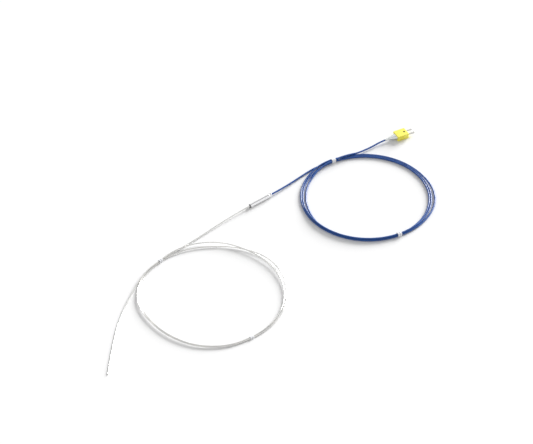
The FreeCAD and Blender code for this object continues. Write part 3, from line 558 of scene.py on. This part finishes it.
clamp = {
    "plug": (0.2453, -0.0165, 0.0042),   # middle of the plug's rear face, at cord height
    "angle": -12.0,
    "barrel": 0.0055,
    "hood": 0.0125,
    "wall": 0.0004,
    "jacket": 0.00128,
    "halfWide": 0.0058,
    "halfHigh": 0.0028,
    "dimples": (0.0014, 0.0040),
    "dimpleDepth": 0.00014,
    "dimpleSpread": 0.00035,
    "flare": 1.25,                 # how late the hood opens, where 1 is a straight cone
    "squareness": 2.2,             # added to an ellipse's 2 at the plug
    "sag": 1.3,                    # how soon the droop below fades towards the plug
    "droop": (-0.0002, -0.0002),   # the narrow end, aside of the plug's axis and below it
}


# The clamp is a loft: round on the jacket, opening by a smooth step to a rounded
# rectangle at the plug. The barrel has two pressed rings. The inside is the same loft,
# one wall's thickness in.
def makeClamp():
    heading = unit(clamp["angle"])
    up = np.array([0, 0, 1.0])
    aside = np.cross(up, heading)
    length = clamp["barrel"] + clamp["hood"]
    along = np.linspace(0, length, 90)
    spread = np.clip((along - clamp["barrel"]) / clamp["hood"], 0, 1)
    spread = spread ** clamp["flare"]
    lean = (1 - along / length) ** clamp["sag"]
    press = sum(clamp["dimpleDepth"] * np.exp(-((along - at) / clamp["dimpleSpread"]) ** 2)
                for at in clamp["dimples"])
    around = np.linspace(0, 2 * np.pi, 72, endpoint=False)
    layers = []
    for inset in (0.0, clamp["wall"]):
        start = clamp["jacket"] + clamp["wall"] - press - inset
        wide = start + spread * (clamp["halfWide"] - inset - start)
        high = start + spread * (clamp["halfHigh"] - inset - start)
        corner = 2 / (2 + clamp["squareness"] * spread)[:, None]
        x = wide[:, None] * squared(np.cos(around)[None, :], corner)
        z = high[:, None] * squared(np.sin(around)[None, :], corner)
        layers.append((np.array(clamp["plug"]) + (along - length)[:, None, None] * heading
                       + (x + lean[:, None] * clamp["droop"][0])[..., None] * aside
                       + (z + lean[:, None] * clamp["droop"][1])[..., None] * up))
    grid = np.concatenate([layers[0], layers[1][::-1]])
    return skin("cableClamp", grid, clampSteel, ["cable_clamp"], ring=True)


makeSleeve()
tipPiece = makeTip()
clampPiece = makeClamp()
sheathTies = (makeTie("sheathTieA", "sheath_tie_a", sheathTieA)
              + makeTie("sheathTieB", "sheath_tie_b", sheathTieB))
leadTies = (makeTie("leadTieA", "lead_tie_a", leadTieA)
            + makeTie("leadTieB", "lead_tie_b", leadTieB))
print("pieces made")

print("cords laid")


# ---- floor and light
studio = {
    "floor": 40.0,
    "floorColour": 0.93,
    "world": 0.62,           # how bright the room is on rough surfaces
    "shine": 1.02,           # how bright it is in reflections
    "gapHeight": (0.69, 0.72, 0.76, 0.79),   # dark gap between the walls and the top light
    "gapLevel": 0.12,
    "key": (103.6, 18),      # azimuth and elevation the main light comes from
    "keyWidth": 30.0,        # degrees across, wide enough for soft shadows
    "keyPower": 5.8,
}


def makeFloor():
    half = studio["floor"] / 2
    mesh = bpy.data.meshes.new("floor")
    mesh.from_pydata([(-half, -half, 0), (half, -half, 0), (half, half, 0), (-half, half, 0)],
                     [], [(0, 1, 2, 3)])
    floor = bpy.data.objects.new("floor", mesh)
    bpy.context.scene.collection.objects.link(floor)
    shade = studio["floorColour"]
    material, tree, shader = newMaterial(
        "floorWhite", Base_Color=(shade, shade, shade, 1), Roughness=0.9)
    shader.inputs["Specular IOR Level"].default_value = 0.1
    mesh.materials.append(material)


# White walls and a white top light, with a dark gap between them all round.
def makeWorld():
    world = bpy.data.worlds.new("Studio")
    bpy.context.scene.world = world
    world.use_nodes = True
    tree = world.node_tree
    background = tree.nodes["Background"]
    coords = addNode(tree, "TexCoord")
    split = addNode(tree, "SeparateXYZ")
    ramp = addNode(tree, "ValToRGB")
    dark = studio["gapLevel"]
    for index, (height, level) in enumerate(zip(studio["gapHeight"], (1, dark, dark, 1))):
        stop = ramp.color_ramp.elements[0] if index == 0 else (
            ramp.color_ramp.elements[1] if index == 3 else
            ramp.color_ramp.elements.new(height))
        stop.position, stop.color = height, (level, level, level, 1)
    tree.links.new(coords.outputs["Generated"], split.inputs[0])
    tree.links.new(split.outputs["Z"], ramp.inputs["Fac"])
    tree.links.new(ramp.outputs["Color"], background.inputs["Color"])
    rays = addNode(tree, "LightPath")
    bright = addNode(tree, "MapRange")
    bright.inputs["To Min"].default_value = studio["world"]
    bright.inputs["To Max"].default_value = studio["shine"]
    tree.links.new(rays.outputs["Is Glossy Ray"], bright.inputs["Value"])
    tree.links.new(bright.outputs["Result"], background.inputs["Strength"])


def makeKey():
    data = bpy.data.lights.new("Key", "SUN")
    data.angle, data.energy = math.radians(studio["keyWidth"]), studio["keyPower"]
    light = bpy.data.objects.new("Key", data)
    bpy.context.scene.collection.objects.link(light)
    aim(light, direction(*studio["key"]) * 2, (0, 0, 0))


makeFloor()
makeWorld()
makeKey()
bpy.context.scene.view_settings.view_transform = "Standard"
print("studio ready")
